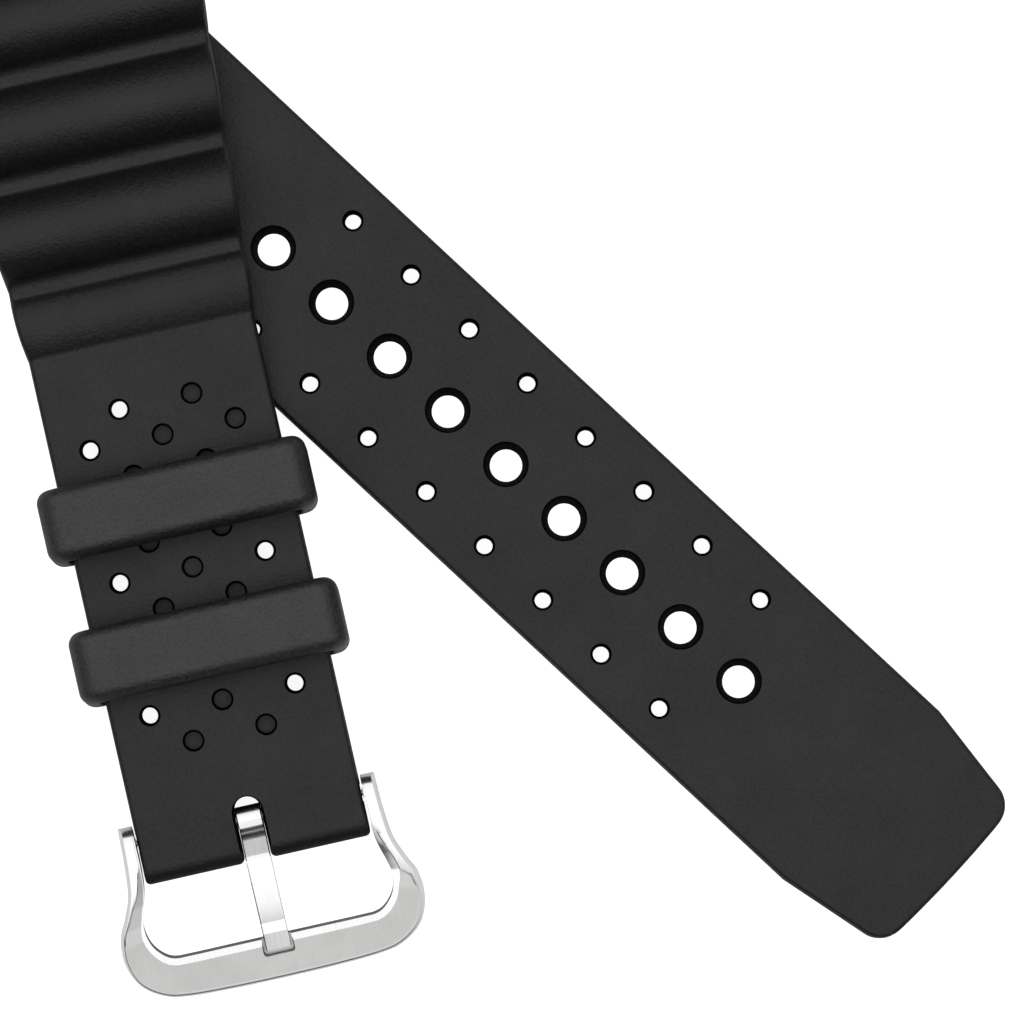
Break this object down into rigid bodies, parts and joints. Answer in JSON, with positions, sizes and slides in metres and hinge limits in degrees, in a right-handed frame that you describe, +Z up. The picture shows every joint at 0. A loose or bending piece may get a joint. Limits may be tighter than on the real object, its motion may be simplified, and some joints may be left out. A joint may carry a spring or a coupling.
{
  "type": "watch strap",
  "caption": "Two-piece rubber dive strap with bellows ribs, vented flats, loose keepers, sprung bars and a pin buckle.",
  "frame": {"origin": "middle of the bounding box's base, on the surface the strap lies on", "axes": "+Y along the buckle half from its buckle to its lug end, +Z up from the surface, +X across it"},
  "size_m": [0.101, 0.1356, 0.0096],
  "materials": {
    "rubber": "matt, finely grained",
    "keeper_rubber": "matt, finely grained",
    "frame_steel": "satin brushed, bright bevels",
    "tongue_steel": "satin, rolled strip",
    "bar_steel": "drawn tube"
  },
  "bodies": {
    "tail_half": {"tail_strap": "rubber"},
    "tail_bar": {"tail_bar_tube": "bar_steel", "tail_bar_spring": "bar_steel"},
    "tail_bar_tip_left": {"tail_bar_tip_left": "bar_steel"},
    "tail_bar_tip_right": {"tail_bar_tip_right": "bar_steel"},
    "buckle_half": {"buckle_strap": "rubber"},
    "upper_loop": {"keeper_upper": "keeper_rubber"},
    "lower_loop": {"keeper_lower": "keeper_rubber"},
    "buckle_bar": {"buckle_bar_tube": "bar_steel", "buckle_bar_spring": "bar_steel"},
    "buckle_bar_tip_left": {"buckle_bar_tip_left": "bar_steel"},
    "buckle_bar_tip_right": {"buckle_bar_tip_right": "bar_steel"},
    "frame": {"buckle_frame": "frame_steel"},
    "tongue": {"buckle_tongue": "tongue_steel"},
    "head_bar": {"head_bar_tube": "bar_steel", "head_bar_spring": "bar_steel"},
    "head_bar_tip_left": {"head_bar_tip_left": "bar_steel"},
    "head_bar_tip_right": {"head_bar_tip_right": "bar_steel"}
  },
  "joints": [
    {"name": "halves_lift", "type": "slide", "parent": "tail_half", "child": "buckle_half", "axis": [0, 0, 1], "range_m": [0, 0.03]},
    {"name": "keeper_lower_slide", "type": "slide", "parent": "buckle_half", "child": "lower_loop", "axis": [0, 0.9992, 0.0406], "range_m": [-0.005, 0.0028]},
    {"name": "keeper_upper_slide", "type": "slide", "parent": "buckle_half", "child": "upper_loop", "axis": [0, 0.9992, 0.0406], "range_m": [-0.0028, 0.0003]},
    {"name": "buckle_bar_spin", "type": "hinge", "parent": "buckle_half", "child": "buckle_bar", "pos_m": [-0.01343, -0.0456, 0.00285], "axis": [-1, 0, 0], "continuous": true},
    {"name": "buckle_frame_hinge", "type": "hinge", "parent": "buckle_half", "child": "frame", "pos_m": [-0.01343, -0.0456, 0.00285], "axis": [-1, 0, 0], "range_deg": [-60, 60]},
    {"name": "tongue_hinge", "type": "hinge", "parent": "frame", "child": "tongue", "pos_m": [-0.01343, -0.0456, 0.00285], "axis": [-1, 0, 0], "range_deg": [0, 60]},
    {"name": "head_bar_spin", "type": "hinge", "parent": "buckle_half", "child": "head_bar", "pos_m": [-0.01343, 0.03559, 0.0071], "axis": [-1, 0, 0], "continuous": true},
    {"name": "tail_bar_spin", "type": "hinge", "parent": "tail_half", "child": "tail_bar", "pos_m": [-0.04028, 0.0599, 0.0022], "axis": [-0.8257, -0.5641, 0], "continuous": true},
    {"name": "buckle_bar_tip_right_press", "type": "slide", "parent": "buckle_bar", "child": "buckle_bar_tip_right", "axis": [1, 0, 0], "range_m": [0, 0.0011], "stiffness_N_per_m": 400, "springref_m": -0.001, "deforming": ["buckle_bar_spring"]},
    {"name": "buckle_bar_tip_left_press", "type": "slide", "parent": "buckle_bar", "child": "buckle_bar_tip_left", "axis": [-1, 0, 0], "range_m": [0, 0.0011], "stiffness_N_per_m": 400, "springref_m": -0.001, "deforming": ["buckle_bar_spring"]},
    {"name": "head_bar_tip_right_press", "type": "slide", "parent": "head_bar", "child": "head_bar_tip_right", "axis": [1, 0, 0], "range_m": [0, 0.0011], "stiffness_N_per_m": 400, "springref_m": -0.001, "deforming": ["head_bar_spring"]},
    {"name": "head_bar_tip_left_press", "type": "slide", "parent": "head_bar", "child": "head_bar_tip_left", "axis": [-1, 0, 0], "range_m": [0, 0.0011], "stiffness_N_per_m": 400, "springref_m": -0.001, "deforming": ["head_bar_spring"]},
    {"name": "tail_bar_tip_right_press", "type": "slide", "parent": "tail_bar", "child": "tail_bar_tip_right", "axis": [0.8257, 0.5641, 0], "range_m": [0, 0.0011], "stiffness_N_per_m": 400, "springref_m": -0.001, "deforming": ["tail_bar_spring"]},
    {"name": "tail_bar_tip_left_press", "type": "slide", "parent": "tail_bar", "child": "tail_bar_tip_left", "axis": [-0.8257, -0.5641, 0], "range_m": [0, 0.0011], "stiffness_N_per_m": 400, "springref_m": -0.001, "deforming": ["tail_bar_spring"]}
  ]
}
